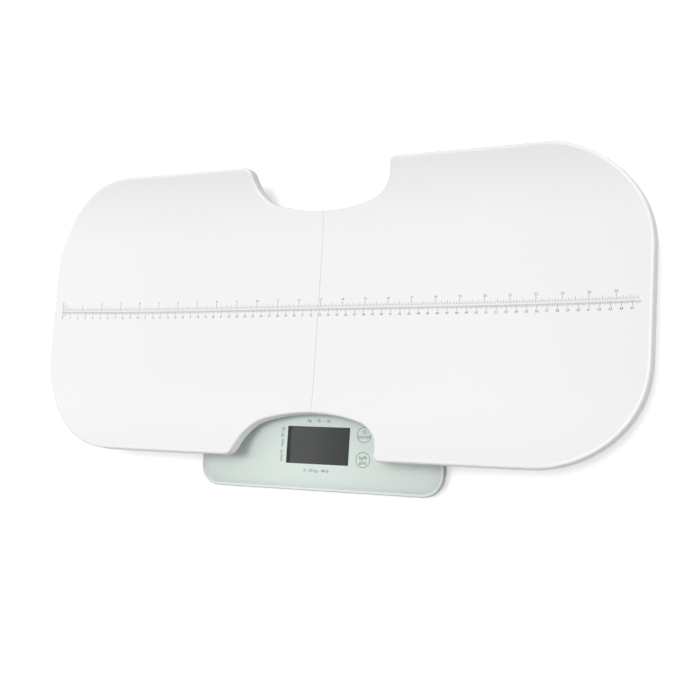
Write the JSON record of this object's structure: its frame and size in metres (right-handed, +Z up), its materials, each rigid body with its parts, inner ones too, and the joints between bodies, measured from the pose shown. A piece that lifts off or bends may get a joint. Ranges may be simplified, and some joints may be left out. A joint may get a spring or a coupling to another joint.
{
  "type": "digital baby weighing scale",
  "caption": "Glass platform scale on corner load cells, with display and touch keys, carrying a lift-off two-part dished tray with a printed length ruler.",
  "frame": {"origin": "on the floor under the middle of the whole object's bounding box", "axes": "+X along the tray to the right as seen from the display side, +Y to the back, +Z up"},
  "size_m": [0.6824, 0.3351, 0.0671],
  "materials": {
    "clear_glass": "polished toughened glass",
    "mint_print": "screen print under glass",
    "display_glass": "dark, blank liquid-crystal cell",
    "diffuser_plastic": "milky acrylic",
    "black_plastic": "moulded",
    "grey_rubber": "moulded silicone",
    "board_laminate": "green solder mask on glass-fibre laminate",
    "plated_steel": "zinc or nickel plated",
    "cream_nylon": "moulded nylon",
    "dark_foam": "closed-cell foam",
    "white_plastic": "moulded, fine grain",
    "battery_wrap": "plain sleeved zinc can",
    "grey_cable": "soft PVC sheath",
    "tray_plastic": "smooth white moulding, satin",
    "pale_rubber": "moulded, soft"
  },
  "bodies": {
    "platform": {"back_print": "mint_print", "battery_1": "battery_wrap", "battery_2": "battery_wrap", "battery_3": "battery_wrap", "battery_plate_contacts": "plated_steel", "battery_spring_contacts": "plated_steel", "board_screws": "plated_steel", "cell_screws": "plated_steel", "controller_chip": "black_plastic", "display_backlight": "diffuser_plastic", "display_connectors": "grey_rubber", "display_frame": "black_plastic", "display_panel": "display_glass", "electronics_housing": "white_plastic", "foot_front_left": "white_plastic", "foot_front_right": "white_plastic", "foot_mount_front_left": "white_plastic", "foot_mount_front_right": "white_plastic", "foot_mount_rear_left": "white_plastic", "foot_mount_rear_right": "white_plastic", "foot_pad_front_left": "grey_rubber", "foot_pad_front_right": "grey_rubber", "foot_pad_rear_left": "grey_rubber", "foot_pad_rear_right": "grey_rubber", "foot_rear_left": "white_plastic", "foot_rear_right": "white_plastic", "glass_platform": "clear_glass", "housing_seal": "dark_foam", "lead_cover_left": "white_plastic", "lead_cover_right": "white_plastic", "lead_front_left": "grey_cable", "lead_front_right": "grey_cable", "lead_rear_left": "grey_cable", "lead_rear_right": "grey_cable", "lead_sockets": "cream_nylon", "load_cell_front_left": "plated_steel", "load_cell_front_right": "plated_steel", "load_cell_rear_left": "plated_steel", "load_cell_rear_right": "plated_steel", "main_board": "board_laminate", "touch_key_pads": "dark_foam"},
    "battery_door": {"battery_door": "white_plastic"},
    "tray_right": {"tray_half_right": "tray_plastic", "tray_pads_right": "pale_rubber"},
    "tray_left": {"tray_half_left": "tray_plastic", "tray_pads_left": "pale_rubber"}
  },
  "joints": [
    {"name": "tray_lift", "type": "slide", "parent": "platform", "child": "tray_right", "axis": [0, 0, 1], "range_m": [0, 0.12]},
    {"name": "tray_split", "type": "slide", "parent": "tray_right", "child": "tray_left", "axis": [-1, 0, 0], "range_m": [0, 0.045]},
    {"name": "battery_door_slide", "type": "slide", "parent": "platform", "child": "battery_door", "axis": [0, 1, 0], "range_m": [0, 0.04]}
  ]
}
